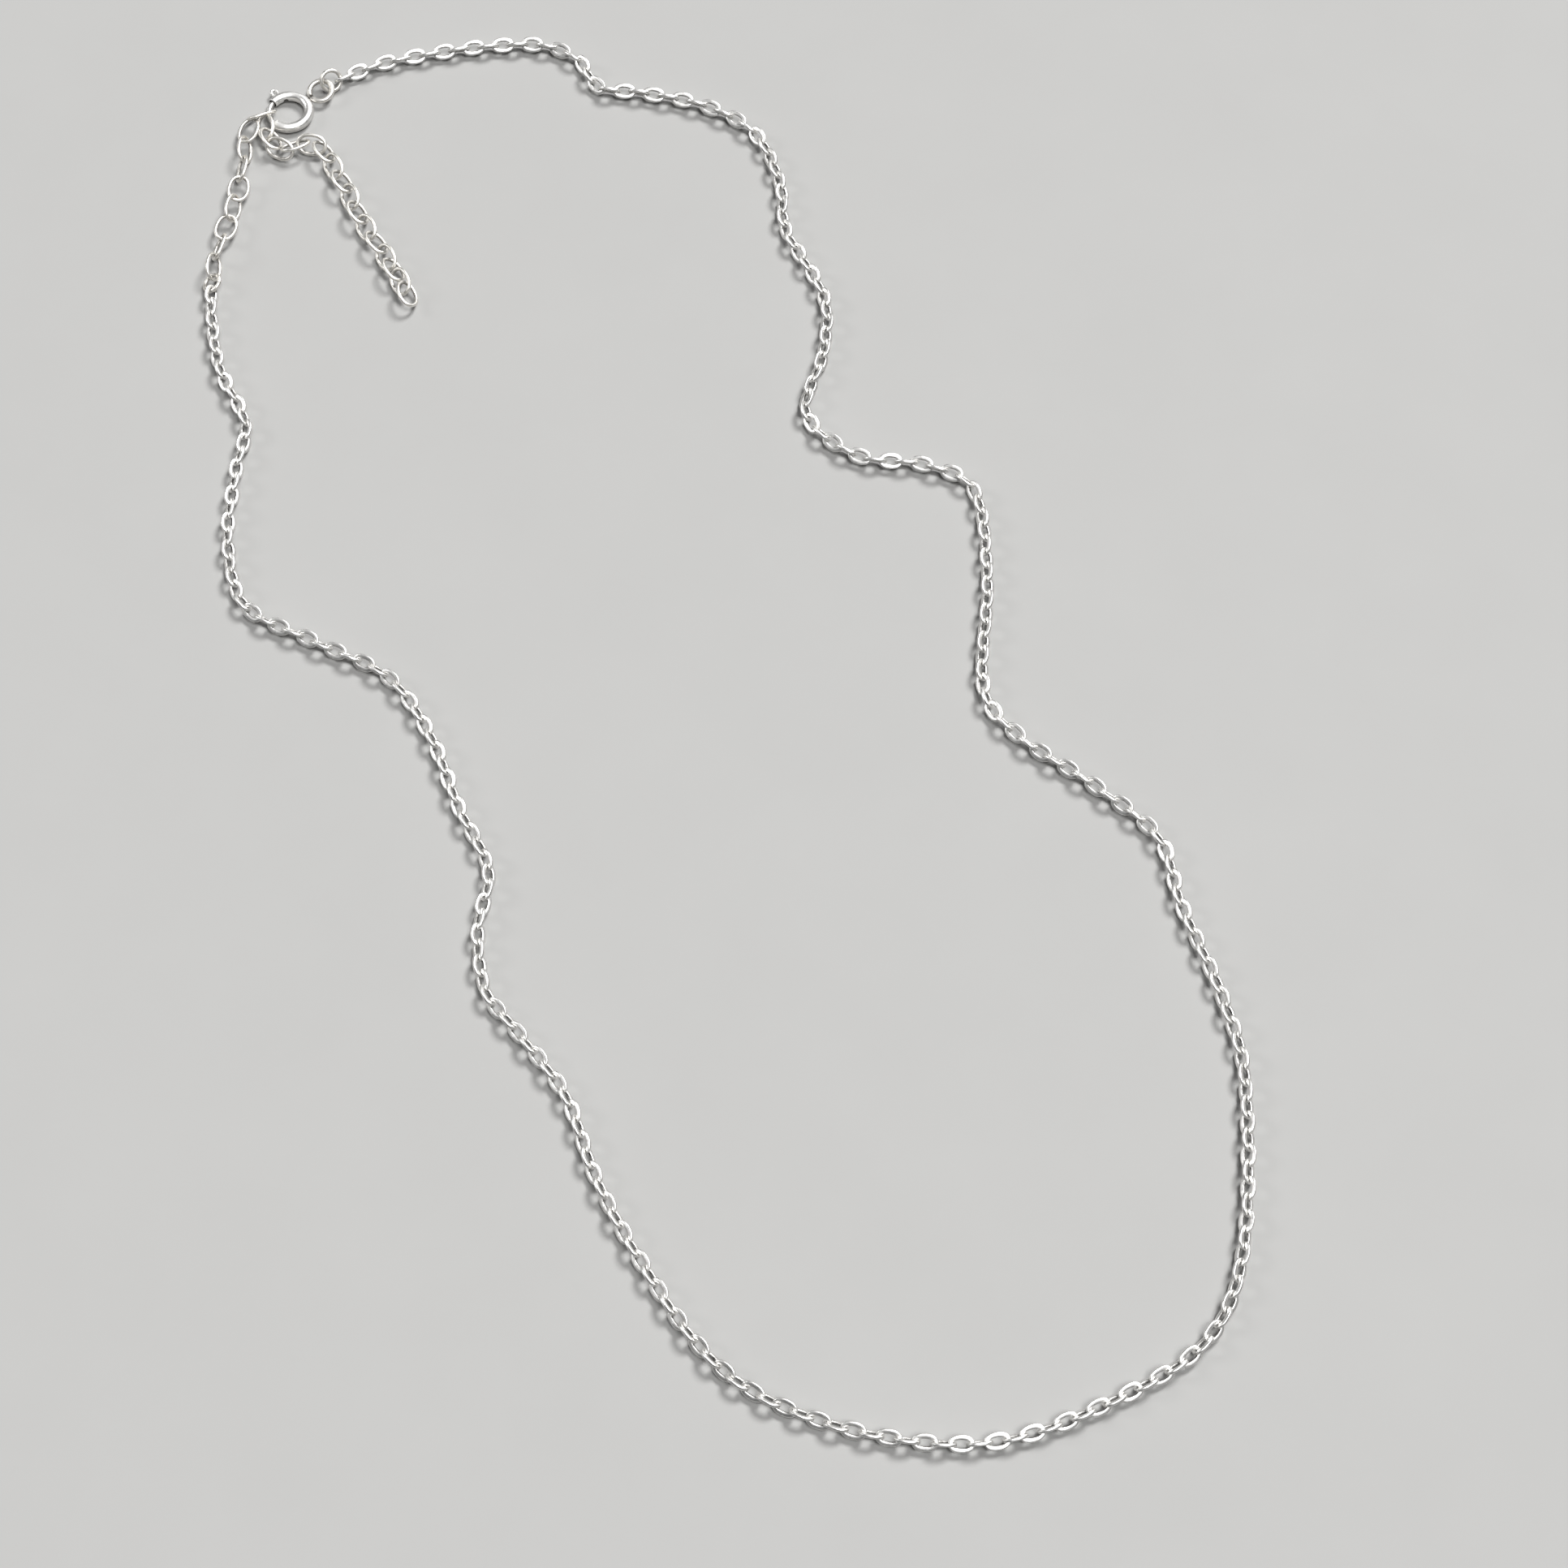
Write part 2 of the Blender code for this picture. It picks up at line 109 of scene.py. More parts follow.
# Lines and places on the resting plane, in millimetres, as in the CAD
MAIN_ROUTE = [
    (-48.4, 98.4), (-41.3, 100.1), (-34.4, 101.1), (-29.0, 101.0), (-24.9, 98.8), (-22.2, 94.7),
    (-17.0, 93.8), (-9.6, 91.9), (-3.5, 87.8), (-0.5, 80.5), (0.3, 73.5), (4.6, 64.2),
    (4.6, 56.5), (2.6, 47.8), (8.2, 42.1), (16.2, 40.7), (21.6, 37.1), (22.7, 25.5),
    (21.9, 12.2), (25.6, 5.8), (33.6, -0.3), (40.2, -6.6), (42.3, -14.6), (46.0, -25.3),
    (47.8, -35.0), (46.6, -52.6), (42.4, -62.6), (33.0, -68.8), (21.2, -73.1), (9.5, -72.6),
    (-1.5, -68.9), (-8.4, -63.4), (-15.0, -53.5), (-19.3, -45.2), (-22.6, -36.4), (-28.0, -29.0),
    (-31.3, -24.5), (-32.4, -17.5), (-31.6, -10.4), (-35.0, -3.0), (-38.6, 6.0), (-43.6, 13.2),
    (-52.2, 17.8), (-59.8, 22.2), (-62.4, 30.5), (-62.2, 40.0), (-61.6, 46.5), (-65.0, 53.9),
    (-66.6, 61.6),
]
RING_B_AT = (-66.85, 65.9)
EXT_ROUTE = [(-66.7, 69.0), (-65.9, 73.0), (-64.8, 78.4), (-64.4, 83.6), (-64.2, 87.4), (-63.4, 89.8)]
HOOK_POINT = (-61.92, 90.87)
TAIL_ROUTE = [
    (-61.5, 87.0), (-60.0, 85.2), (-57.8, 85.9), (-55.6, 85.6), (-54.3, 83.8), (-52.1, 79.7),
    (-49.9, 74.9), (-47.3, 70.5), (-44.9, 66.1), (-43.8, 63.6), (-43.6, 59.0),
]

# The fine model's own cable links
LINK_WIRE = 0.50 * MM  # the pressed wire's width in a link's plane
LINK_THICKNESS = 0.38 * MM
LINK_PRESS = 0.02 * MM  # how far each end of a link presses into the next link's end
LINK_OVAL = 2.25  # the link's outline: 2 is an ellipse, and more is squarer
LINK_EDGE = 0.55  # the wire's section: 1 is an ellipse, and less is squarer
LINK_SHAPES = 10
TWIST_LEAN = 13  # degrees that the lying chain is twisted where it runs along X
TWIST_WANDER = 9  # degrees of slow twist either way along it

# The fine model's own extender links and jump rings
OVAL_WIRE = 0.42 * MM
OVAL_SHAPES = 7
HOOP_WIRE = 0.485 * MM
HOOP_GAP = 0.012 * MM  # between a jump ring's cut ends
HOOP_A_SEAM = 118  # degrees round the ring
HOOP_B_SEAM = 250

# The fine model's own clasp, in degrees round it where no length is given
THUMB_WIRE = 0.32 * MM  # of the trigger's loop
SLOT_WIDTH = 0.42 * MM  # of the slot that the trigger slides in
SLOT_PLAY = 3  # past the trigger, at both ends of its travel
SLOT_ROUND = 5  # over which the slot's ends are rounded
SEAM_GAP = 0.008 * MM  # where the sheet's edges meet
MOUTH_LIP = 2.2  # over which the mouth's edges are rounded
MOUTH_ROUND = 0.07 * MM
VENT_AT = 105  # a small blind hole on the tube's inner rim
VENT_LOW = 16  # degrees round the tube's section, down from its innermost line
VENT_SIZE = 0.25 * MM
VENT_DEPTH = 0.16 * MM
TIP_ROUND = 6  # over which the bolt's ends are rounded
COIL_WIRE = 0.08 * MM
COIL_TURNS = 36
SOLDER_WIDTH = 1.0 * MM
SOLDER_HEIGHT = 0.52 * MM

# Finishes: the bright and dull colours, the near-black colour of the painted shade and dark seams, the least
# and most roughness, and the strength of that painted shade and seams
FINISHES = {
    "chain_silver": ((0.87, 0.86, 0.84), (0.72, 0.71, 0.69), (0.05, 0.045, 0.04), 0.34, 0.47, 1.5),
    "ring_silver": ((0.87, 0.85, 0.81), (0.72, 0.695, 0.65), (0.05, 0.045, 0.04), 0.37, 0.50, 1.3),
    "clasp_silver": ((0.87, 0.86, 0.84), (0.74, 0.73, 0.71), (0.05, 0.045, 0.04), 0.36, 0.50, 1.3),
    "spring_steel": ((0.42, 0.41, 0.39), (0.30, 0.29, 0.28), (0.05, 0.05, 0.05), 0.30, 0.45, 1.0),
}
MOTTLE_SCALE = 1400  # noise scales, per metre
PATCH_SCALE = 3200
SCRATCH_SCALE = 5200
GRAIN_SCALE = 9000

# Stage, lights and camera
FLOOR_SIZE = 24
FLOOR_DROP = 0.03 * MM  # below the resting plane, for the hooked link's wire, thicker than in the CAD
FLOOR_DARK = (0.265, 0.263, 0.257)
FLOOR_LIGHT = (0.28, 0.278, 0.272)
WORLD_COLOUR = (0.03, 0.032, 0.035)
SUNS = (  # name, where it shines from, width in degrees, strength
    ("key", (0.22, 0.26, 0.42), 20, 4.6),
    ("front", (0.12, -0.14, 0.50), 24, 2.7),
    ("side", (-0.45, 0.10, 0.30), 20, 0.9),
)
VIEW_HEIGHT = 0.9 * MM  # of the point that the camera looks at
CAMERA_DISTANCE = 0.379
CAMERA_ELEVATION = 62.5
CAMERA_LENS = 80.4

rng = random.Random(7)


# ---------------------------------------------------------------- layout, as in the CAD

def flat(point, height=0.0):
    return Vector((point[0] * MM, point[1] * MM, height))


def around(centre, radius, degrees):
    angle = math.radians(degrees)
    return centre + radius * Vector((math.cos(angle), math.sin(angle), 0))


class Path:
    """A smooth curve through points, which can be asked for its place and direction at a length."""

    STEPS = 24

    def __init__(self, points):
        ends = [2 * points[0] - points[1], 2 * points[-1] - points[-2]]
        pts = [ends[0], *points, ends[1]]
        self.line = []
        for a, b, c, d in zip(pts, pts[1:], pts[2:], pts[3:]):
            for k in range(self.STEPS):
                t = k / self.STEPS
                bend = (2 * a - 5 * b + 4 * c - d) * t * t + (3 * b - a - 3 * c + d) * t**3
                self.line.append(b + 0.5 * ((c - a) * t + bend))
        self.line.append(points[-1])
        self.run = [0.0]
        for a, b in zip(self.line, self.line[1:]):
            self.run.append(self.run[-1] + (b - a).length)
        self.length = self.run[-1]

    def at(self, s):
        low, high = 0, len(self.run) - 2
        while low < high:
            mid = (low + high) // 2
            if self.run[mid + 1] < s:
                low = mid + 1
            else:
                high = mid
        a, b = self.line[low], self.line[low + 1]
        way = (b - a).normalized()
        return a + way * (s - self.run[low]), way


def link_frame(place, way, roll):
    """A link's matrix: X along the chain, Y across the link in its own plane, rolled about X."""
    side = Vector((0, 0, 1)).cross(way).normalized()
    turn = math.radians(roll)
    across = side * math.cos(turn) + way.cross(side) * math.sin(turn)
    turned = Matrix((way, across, way.cross(across))).transposed()
    return Matrix.Translation(place) @ turned.to_4x4()


def main_layout(start, end):
    """The cable links' matrices, the first link of each run, and the step from link to link."""
    height = (CHAIN_WIDTH + CHAIN_THICKNESS) / 2 * math.sin(math.radians(CHAIN_ROLL))
    lift = Vector((0, 0, height))
    path = Path([start + lift, *(flat(point, height) for point in MAIN_ROUTE), end + lift])
    inner = CHAIN_PITCH / 2
    first = RING_A_OUTER / 2 - RING_WIRE + inner - RING_PLAY
    last = RING_B_OUTER / 2 - RING_WIRE + inner - RING_PLAY
    room = path.length - first - last
    steps = math.ceil(room / CHAIN_PITCH)
    steps += (steps + 1) % 2
    pitch = room / steps
    frames = []
    for k in range(steps + 1):
        place, way = path.at(first + pitch * k)
        frames.append(link_frame(place, way, -CHAIN_ROLL if k % 2 == 0 else CHAIN_ROLL))
    starts = [round(len(frames) * r / RUNS) for r in range(RUNS + 1)]
    return frames, starts, pitch


def extender_layout(start, hook):
    """The extender links' matrices, from jump ring B to the clasp's bolt and on along the slack tail."""
    inner = EXT_INSIDE_LENGTH / 2
    steepest = math.radians(max(EXT_ROLLS))
    height = (EXT_INSIDE_WIDTH + EXT_WIRE) / 2 * math.sin(steepest) + EXT_WIRE / 2
    lift = Vector((0, 0, height))
    path = Path([start + lift, *(flat(point, height) for point in EXT_ROUTE), hook])
    first = RING_B_OUTER / 2 - RING_WIRE + inner - RING_PLAY
    last = path.length - (inner - BOLT_WIRE / 2 - HOOK_PLAY)
    frames = []
    for k, roll in enumerate(EXT_ROLLS):
        place, way = path.at(first + (last - first) * k / (len(EXT_ROLLS) - 1))
        frames.append(link_frame(place, way, roll))
    tail = Path([path.at(last)[0], *(flat(point, height) for point in TAIL_ROUTE)])
    s = 0.0
    for k, step in enumerate([step for links, step in TAIL_STEPS for _ in range(links)]):
        s += step
        place, way = tail.at(s)
        frames.append(link_frame(place, way, TAIL_ROLLS[k % 2]))
    return frames


# ---------------------------------------------------------------- materials

class Nodes:
    """A material's node tree, with short calls for adding and joining nodes."""

    def __init__(self, name):
        self.material = bpy.data.materials.new(name)
        self.material.use_nodes = True
        self.tree = self.material.node_tree
        self.shader = self.tree.nodes["Principled BSDF"]

    def add(self, kind, **values):
        node = self.tree.nodes.new(kind)
        for key, value in values.items():
            if hasattr(node, key):
                setattr(node, key, value)
            else:
                node.inputs[key].default_value = value
        return node

    def join(self, output, target):
        self.tree.links.new(output, target)

    def noise(self, vector, scale, detail=3.0, rough=0.6):
        node = self.add("ShaderNodeTexNoise", Scale=scale, Detail=detail, Roughness=rough)
        self.join(vector, node.inputs["Vector"])
        return node.outputs["Fac"]

    def spread(self, value, low, high, to_low, to_high):
        """A value between low and high, mapped to lie between to_low and to_high."""
        node = self.add("ShaderNodeMapRange", clamp=True)
        for index, number in enumerate((low, high, to_low, to_high), 1):
            node.inputs[index].default_value = number
        self.join(value, node.inputs[0])
        return node.outputs[0]

    def maths(self, operation, a, b):
        node = self.add("ShaderNodeMath", operation=operation)
        for slot, value in zip(node.inputs, (a, b)):
            if isinstance(value, (int, float)):
                slot.default_value = value
            else:
                self.join(value, slot)
        return node.outputs[0]

    def mix(self, factor, a, b):
        node = self.add("ShaderNodeMix", data_type="RGBA")
        self.join(factor, node.inputs[0])
        for slot, value in ((node.inputs[6], a), (node.inputs[7], b)):
            if isinstance(value, tuple):
                slot.default_value = (*value, 1)
            else:
                self.join(value, slot)
        return node.outputs[2]


def metal(name, bright, dull, shade_and_seam_colour, smooth, rough, strength):
    """Satin metal: mottled, darkened by the mesh's painted shade and its darker seams, and finely scratched.
    """
    n = Nodes(name)
    n.shader.inputs["Metallic"].default_value = 1.0

    # each piece has its own part of the noise
    own = n.add("ShaderNodeObjectInfo").outputs["Random"]
    shift = n.add("ShaderNodeCombineXYZ")
    for axis in shift.inputs:
        n.join(own, axis)
    place = n.add("ShaderNodeVectorMath", operation="ADD")
    n.join(n.add("ShaderNodeTexCoord").outputs["Object"], place.inputs[0])
    n.join(shift.outputs[0], place.inputs[1])
    spot = place.outputs[0]

    mottle = n.noise(spot, MOTTLE_SCALE, 4)
    grain = n.noise(spot, GRAIN_SCALE, 3)
    colour = n.mix(n.spread(mottle, 0.35, 0.68, 0, 1), bright, dull)
    # painted shade: a near-black colour is mixed in, and the roughness raised, where the mesh's painted
    # shade value is high; the same value also holds the real dark seams
    shade_and_seams = n.add("ShaderNodeAttribute", attribute_name="shade_and_seams").outputs["Fac"]
    uneven = n.spread(n.noise(spot, PATCH_SCALE, 4), 0.3, 0.7, 0.45, 1.15)
    deep = n.maths("MULTIPLY", n.maths("MULTIPLY", shade_and_seams, uneven), strength)
    shade_and_seam_amount = n.maths("MINIMUM", deep, 1.0)
    n.join(n.mix(shade_and_seam_amount, colour, shade_and_seam_colour), n.shader.inputs["Base Color"])

    rubbed = n.spread(grain, 0.3, 0.7, smooth, rough)
    n.join(n.maths("ADD", rubbed, n.maths("MULTIPLY", shade_and_seam_amount, 0.22)), n.shader.inputs["Roughness"])

    along = n.add("ShaderNodeMapping")
    along.inputs["Scale"].default_value = (1, 7, 7)
    n.join(spot, along.inputs["Vector"])
    scratches = n.noise(along.outputs[0], SCRATCH_SCALE, 2)
    relief = n.maths("ADD", n.maths("MULTIPLY", scratches, 0.6), n.maths("MULTIPLY", grain, 0.4))
    bump = n.add("ShaderNodeBump", Strength=0.22, Distance=0.02 * MM)
    n.join(relief, bump.inputs["Height"])
    n.join(bump.outputs[0], n.shader.inputs["Normal"])
    return n.material


# ---------------------------------------------------------------- meshes

def skin(name, rings, shade_and_seams, closed):
    """A mesh from rings of points, with a value of painted shade and dark seams at each. It is closed into a
    loop, or capped.
    """
    count = len(rings[0])
    verts = [point for ring in rings for point in ring]
    faces = []
    last = len(rings) if closed else len(rings) - 1
    for k in range(last):
        a, b = k * count, (k + 1) % len(rings) * count
        for i in range(count):
            j = (i + 1) % count
            faces.append((a + i, a + j, b + j, b + i))
    if not closed:
        faces.append(tuple(range(count)))
        faces.append(tuple(reversed(range((len(rings) - 1) * count, len(rings) * count))))
    mesh = bpy.data.meshes.new(name)
    mesh.from_pydata(verts, [], faces)
    layer = mesh.attributes.new("shade_and_seams", "FLOAT", "POINT")
    layer.data.foreach_set("value", [value for ring in shade_and_seams for value in ring])
    mesh.update()
    mesh.shade_smooth()
    mesh.set_sharp_from_angle(angle=math.radians(50))
    return mesh


def wire(name, line, radius, sides=16, closed=False, shade=None, taper=None):
    """Round wire along a line. shade(share, angle) gives the painted shade and seam value, taper(share)
    scales the radius.
    """
    count = len(line)
    rings, values = [], []
    up = None
    for k, point in enumerate(line):
        before = line[k - 1] if closed or k else line[k]
        after = line[(k + 1) % count] if closed or k < count - 1 else line[k]
        way = (after - before).normalized()
        if up is None:
            up = way.orthogonal().normalized() if abs(way.z) > 0.9 else Vector((0, 0, 1))
        up = (up - way * up.dot(way)).normalized()
        side = way.cross(up)
        share = k / count
        size = radius * (taper(share) if taper else 1)
        ring, value = [], []
        for i in range(sides):
            angle = 2 * math.pi * i / sides
            ring.append(point + size * (math.cos(angle) * side + math.sin(angle) * up))
            value.append(shade(share, angle) if shade else 0.0)
        rings.append(ring)
        values.append(value)
    return skin(name, rings, values, closed)


def inward(angle):
    """1 where a ring's wire faces the ring's middle, and 0 on its outer half."""
    return max(0.0, -math.cos(angle))


def near_ends(share, fall):
    """1 at both ends of a line, falling to 0 away from them, the faster the larger the fall."""
    return max(0.0, 1 - min(share, 1 - share) * fall)


def squared(value, power):
    """A sine or cosine to a power, with its sign kept. Powers under 1 make a circle squarer."""
    return math.copysign(abs(value) ** power, value)


def oval_line(half_length, half_width, steps, power):
    """Points and outward directions round a rounded oval, evenly spaced."""
    fine = 720
    raw = []
    for k in range(fine):
        angle = 2 * math.pi * k / fine
        x = half_length * squared(math.cos(angle), 2 / power)
        y = half_width * squared(math.sin(angle), 2 / power)
        raw.append(Vector((x, y, 0)))
    run = [0.0]
    for a, b in zip(raw, [*raw[1:], raw[0]]):
        run.append(run[-1] + (b - a).length)
    points = []
    index = 0
    for k in range(steps):
        s = run[-1] * k / steps
        while run[index + 1] < s:
            index += 1
        t = (s - run[index]) / (run[index + 1] - run[index])
        points.append(raw[index].lerp(raw[(index + 1) % fine], t))
    outs = []
    for k in range(steps):
        way = (points[(k + 1) % steps] - points[k - 1]).normalized()
        outs.append(Vector((way.y, -way.x, 0)))
    return points, outs


def cable_link(name, half, dice):
    """One cable link of pressed wire: a flat oval ring with rounded edges, worn ends and a soldered seam."""
    steps, sides = 44, 16
    width = LINK_WIRE * dice.uniform(0.97, 1.03)
    thick = LINK_THICKNESS * dice.uniform(0.96, 1.04)
    reach_x = half - width / 2
    reach_y = CHAIN_WIDTH / 2 * dice.uniform(0.985, 1.01) - width / 2
    points, outs = oval_line(reach_x, reach_y, steps, LINK_OVAL)
    seam = dice.choice((0.22, 0.28, 0.72, 0.78))
    bow = dice.uniform(-0.02, 0.02) * MM
    rings, values = [], []
    for k, (point, out) in enumerate(zip(points, outs)):
        end = abs(out.x) ** 3  # 1 at the link's two ends, where it wears
        joint = math.exp(-(((k / steps - seam) / 0.018) ** 2))
        wide = width / 2 * (1 - 0.05 * end) * (1 + 0.035 * joint)
        high = thick / 2 * (1 - 0.06 * end) * (1 + 0.05 * joint)
        lift = bow * (point.x / reach_x) ** 2
        ring, value = [], []
        for i in range(sides):
            angle = 2 * math.pi * (i + 0.5) / sides
            u = wide * squared(math.cos(angle), LINK_EDGE)
            v = high * squared(math.sin(angle), LINK_EDGE)
            ring.append(point + out * u + Vector((0, 0, v + lift)))
            # painted shade: darker on the wire's inner side, most at the link's ends where the next link
            # lies; the darkening at the seam is a real joint
            hollow = inward(angle) ** 3 * (0.6 + 0.4 * end)
            value.append(min(1.0, hollow + 0.25 * joint * abs(math.sin(angle))))
        rings.append(ring)
        values.append(value)
    return skin(name, rings, values, closed=True)


def oval_link(name, dice):
    """One extender link: an oval of round drawn wire, a little uneven, with its cut ends butted."""
    steps = 64
    butt = 40  # how fast the swelling at the cut ends falls away
    radius = OVAL_WIRE / 2 * dice.uniform(0.98, 1.02)
    half_length = (EXT_INSIDE_LENGTH + OVAL_WIRE) / 2
    half_width = (EXT_INSIDE_WIDTH + OVAL_WIRE) / 2 * dice.uniform(0.97, 1.0)
    points, _ = oval_line(half_length, half_width, steps, dice.uniform(2.1, 2.35))
    skew = dice.uniform(-0.03, 0.03)
    bow = dice.uniform(-0.03, 0.03) * MM
    seam = round(steps * dice.choice((0.24, 0.27, 0.73, 0.76)))
    line = []
    for k in range(steps):
        point = points[(k + seam) % steps]
        along = point.x / half_length
        line.append(Vector((point.x, point.y * (1 + skew * along), bow * along**2)))

    def shade(share, angle):
        # painted shade on the wire's inner side, and a real darker butt joint at the cut ends
        return 0.45 * inward(angle) + 0.15 * near_ends(share, butt)

    def swell(share):
        return 1 + 0.05 * near_ends(share, butt)

    return wire(name, line, radius, 14, True, shade, swell)


def round_ring(name, outer, seam):
    """A jump ring: round wire bent to a circle, with its cut ends nearly meeting."""
    steps, sides = 72, 18
    radius = (outer - HOOP_WIRE) / 2
    open_by = math.degrees(HOOP_GAP / radius)
    line = []
    for k in range(steps + 1):
        line.append(around(Vector(), radius, seam + open_by / 2 + (360 - open_by) * k / steps))

    def shade(share, angle):
        # painted shade on the wire's inner side, and real dark cut ends at the gap
        return min(1.0, 0.35 * inward(angle) + near_ends(share, 90))

    return wire(name, line, HOOP_WIRE / 2, sides, False, shade)


# ---------------------------------------------------------------- pieces

def piece(name, mesh, matrix, body, slot, material, *nodes):
    """A piece in the CAD's frame, riding on a CAD body if one is given, and standing for CAD nodes."""
    made = bpy.data.objects.new(name, mesh)
    made.matrix_world = matrix
    bpy.context.scene.collection.objects.link(made)
    if not made.data.materials:  # links share their meshes
        made.data.materials.append(material)
    if body:
        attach(made, body)
    if nodes:
        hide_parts(*nodes)
    return made


def middle(node):
    low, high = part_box(node)
    return (low + high) / 2


def build():
    """Every piece of the necklace. Returns where the routes' origin lies in the CAD's frame."""
    metals = {name: metal(name, *values) for name, values in FINISHES.items()}
    shift = middle("jump_ring_b") - flat(RING_B_AT, RING_B_HEIGHT)
    move = Matrix.Translation(shift)

    centre = around(flat(HOOK_POINT), CLASP_RADIUS, HOOK_AT - 180)
    eye_at = around(centre, CLASP_RADIUS + TUBE_OUTER / 2 + FIT + EYE_OUTER / 2, EYE_ANGLE)
    hook = around(centre, CLASP_RADIUS, HOOK_AT) + Vector((0, 0, TUBE_OUTER / 2 + HOOK_RISE))
    reach = EYE_OUTER / 2 - EYE_WIRE + RING_A_OUTER / 2 - RING_WIRE - EYE_PLAY
    at_a = around(eye_at, reach, RING_A_ANGLE)
    at_b = flat(RING_B_AT)
    towards = (flat(MAIN_ROUTE[0]) - at_a).normalized()
    towards.z = -math.tan(math.radians(RING_A_PITCH))
    ring_a = link_frame(at_a + Vector((0, 0, RING_A_HEIGHT)), towards.normalized(), RING_A_ROLL)
    along = (at_b - flat(MAIN_ROUTE[-1])).normalized()
    ring_b = link_frame(at_b + Vector((0, 0, RING_B_HEIGHT)), along, RING_B_ROLL)

    chain(move, at_a, at_b, metals["chain_silver"])
    extender(move, at_b, hook, metals["ring_silver"])
    for name, node, outer, seam, matrix in (
        ("jump_ring_upper", "jump_ring_a", RING_A_OUTER, HOOP_A_SEAM, ring_a),
        ("jump_ring_lower", "jump_ring_b", RING_B_OUTER, HOOP_B_SEAM, ring_b),
    ):
        mesh = round_ring(f"{node}_mesh", outer, seam)
        piece(name, mesh, move @ matrix, node, "silver_rings", metals["ring_silver"], node)
    clasp(move @ Matrix.Translation(centre + Vector((0, 0, TUBE_OUTER / 2))), metals)
    return shift


def chain(move, start, end, material):
    """The cable links, each riding on the run that it belongs to."""
    frames, starts, pitch = main_layout(start, end)
    half = pitch / 2 + LINK_WIRE - LINK_PRESS
    shapes = [cable_link(f"cable_link_{k}", half, rng) for k in range(LINK_SHAPES)]
    for r in range(RUNS):
        body = f"chain_run_{r + 1:02d}"
        for k in range(starts[r], starts[r + 1]):
            twist, lift = lie(frames[k], k)
            sway = Matrix.Rotation(math.radians(twist + rng.uniform(-4, 4)), 4, "X")
            turn = Matrix.Rotation(math.radians(rng.uniform(-2.5, 2.5)), 4, "Z")
            matrix = move @ Matrix.Translation((0, 0, lift)) @ frames[k] @ sway @ turn
            name = f"cable_link_{k + 1:03d}"
            piece(name, rng.choice(shapes), matrix, body, "silver_chain", material, body)


def lie(matrix, number):
    """A cable link's twist from the CAD's roll, in degrees, and the lift that keeps it on the floor."""
    wander = math.sin(number / 5.3 + 0.6) + 0.6 * math.sin(number / 2.9 + 2.0)
    twist = TWIST_WANDER * wander / 1.6 - TWIST_LEAN * matrix[0][0]

    def half_height(roll):
        turn = math.radians(roll)
        return CHAIN_WIDTH / 2 * math.sin(turn) + LINK_THICKNESS / 2 * math.cos(turn)

    return twist, half_height(CHAIN_ROLL + abs(twist)) - half_height(CHAIN_ROLL)


def extender(move, start, hook, material):
    """The extender's oval links, each a body of its own."""
    frames = extender_layout(start, hook)
    shapes = [oval_link(f"oval_link_{k}", rng) for k in range(OVAL_SHAPES)]
    for k, matrix in enumerate(frames):
        node = f"extender_link_{k + 1:02d}"
        name = f"oval_link_{k + 1:02d}"
        piece(name, shapes[k % len(shapes)], move @ matrix, node, "silver_chain", material, node)


def clasp(at, metals):
    """The spring-ring clasp's pieces, each made round the middle of its ring."""
    silver, ring_silver = metals["clasp_silver"], metals["ring_silver"]
    piece("clasp_barrel", barrel(), at, "clasp", "silver_clasp", silver, "clasp_tube")
    coil = piece("clasp_coil", spring(), at, None, "spring_steel", metals["spring_steel"], "clasp_spring")
    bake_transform(coil)
    piece("clasp_slider", bolt(), at, "bolt", "silver_clasp", silver, "clasp_bolt")
    piece("clasp_thumb_loop", trigger(), at, "bolt", "silver_clasp", silver, "clasp_trigger")

    turned = at @ Matrix.Rotation(math.radians(EYE_ANGLE), 4, "Z")
    foot = Matrix.Translation((CLASP_RADIUS + TUBE_OUTER / 2 + FIT, 0, 0))
    tilt = Matrix.Rotation(math.radians(-EYE_TILT), 4, "Y")
    eye_frame = turned @ foot @ tilt @ Matrix.Translation((EYE_OUTER / 2, 0, 0))
    piece("clasp_eye_ring", eye(), eye_frame, "clasp", "silver_rings", ring_silver, "clasp_eye")
    piece("clasp_solder", solder(), turned, "clasp", "silver_rings", ring_silver)


